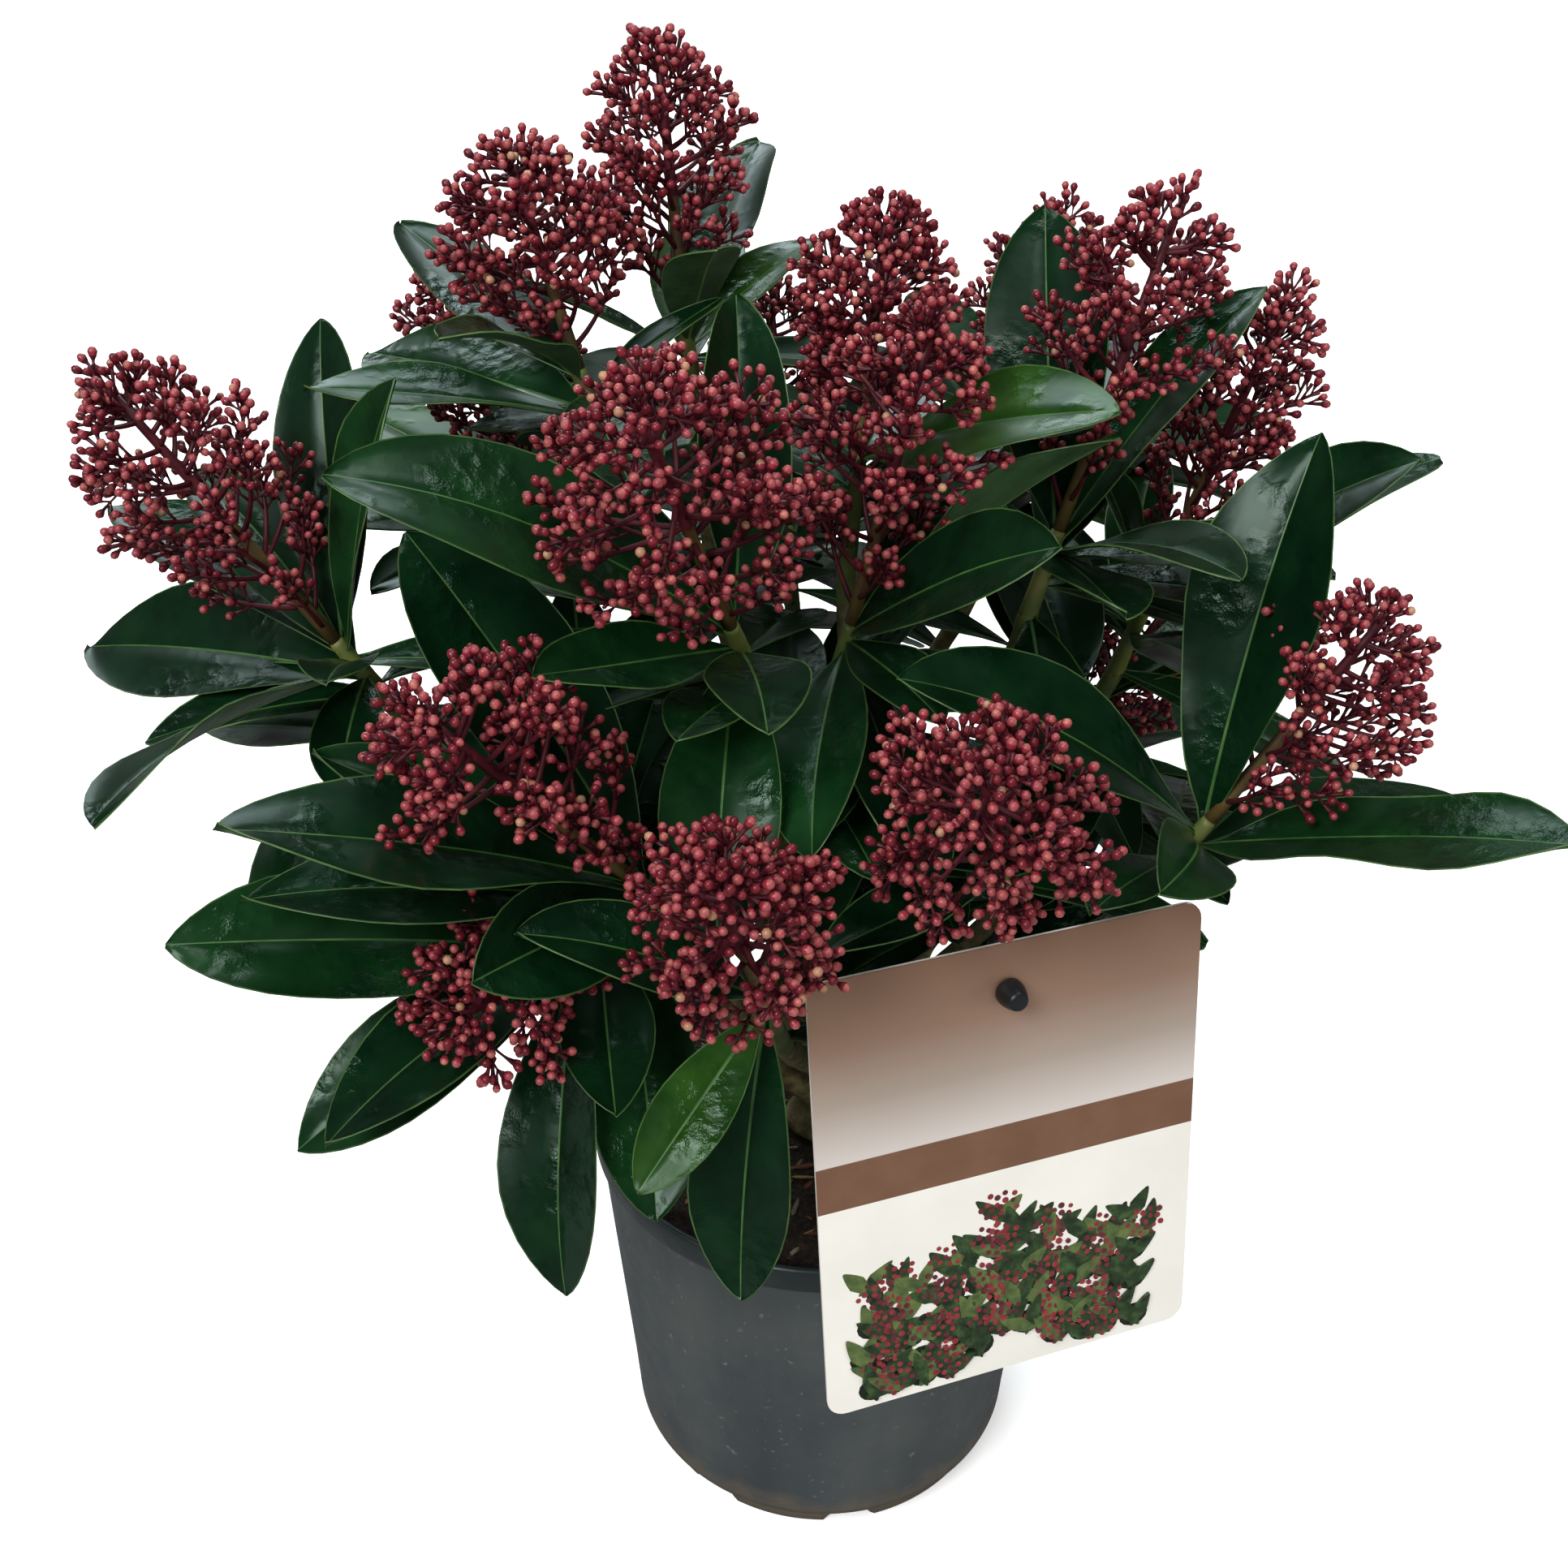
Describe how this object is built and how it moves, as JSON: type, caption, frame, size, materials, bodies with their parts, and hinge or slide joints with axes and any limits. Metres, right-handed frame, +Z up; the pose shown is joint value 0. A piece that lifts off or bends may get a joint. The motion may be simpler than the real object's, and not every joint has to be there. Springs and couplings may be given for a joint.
{
  "type": "potted skimmia shrub",
  "caption": "Evergreen skimmia shrub in a round nursery pot, with glossy pointed leaves, upright heads of small red flower buds and a printed plant card held on a stick.",
  "frame": {"origin": "centre of the pot's flat underside, where it stands on the floor", "axes": "+Z up along the pot's axis; -Y towards the side where the printed card hangs; +X to the right as seen from that side"},
  "size_m": [0.4513, 0.3907, 0.5116],
  "materials": {
    "pot": "cool grey moulded polypropylene, softly satin, dusty near the foot",
    "soil": "dark bark compost, rough, with paler wood chips",
    "bark": "smooth young bark, yellow green on the shoots and grey brown at the foot",
    "foliage": "deep green, leathery and glossy, with paler midrib and margin",
    "flowers": "red buds on dark maroon stalks, satin",
    "stick": "black moulded plastic, satin",
    "card": "printed plastic sheet, satin, white edges"
  },
  "bodies": {
    "root": {"pot": "pot", "soil": "soil", "trunk": "bark", "label_stick": "stick", "label_card": "card", "bough_top": "bark", "leaves_top": "foliage", "flowers_top": "flowers", "bough_upper_left": "bark", "leaves_upper_left": "foliage", "flowers_upper_left": "flowers", "bough_far_left": "bark", "leaves_far_left": "foliage", "flowers_far_left": "flowers", "bough_centre": "bark", "leaves_centre": "foliage", "flowers_centre": "flowers", "bough_centre_left": "bark", "leaves_centre_left": "foliage", "flowers_centre_left": "flowers", "bough_centre_back": "bark", "leaves_centre_back": "foliage", "flowers_centre_back": "flowers", "bough_upper_right": "bark", "leaves_upper_right": "foliage", "flowers_upper_right": "flowers", "bough_high_right": "bark", "leaves_high_right": "foliage", "flowers_high_right": "flowers", "bough_far_right": "bark", "leaves_far_right": "foliage", "flowers_far_right": "flowers", "bough_front": "bark", "leaves_front": "foliage", "flowers_front": "flowers", "bough_front_right": "bark", "leaves_front_right": "foliage", "flowers_front_right": "flowers", "bough_low_left": "bark", "leaves_low_left": "foliage", "flowers_low_left": "flowers", "bough_front_left": "bark", "leaves_front_left": "foliage", "flowers_front_left": "flowers", "bough_back_left": "bark", "leaves_back_left": "foliage", "flowers_back_left": "flowers", "bough_back": "bark", "leaves_back": "foliage", "flowers_back": "flowers", "bough_back_right": "bark", "leaves_back_right": "foliage", "flowers_back_right": "flowers", "bough_low_back": "bark", "leaves_low_back": "foliage", "flowers_low_back": "flowers"}
  },
  "joints": []
}
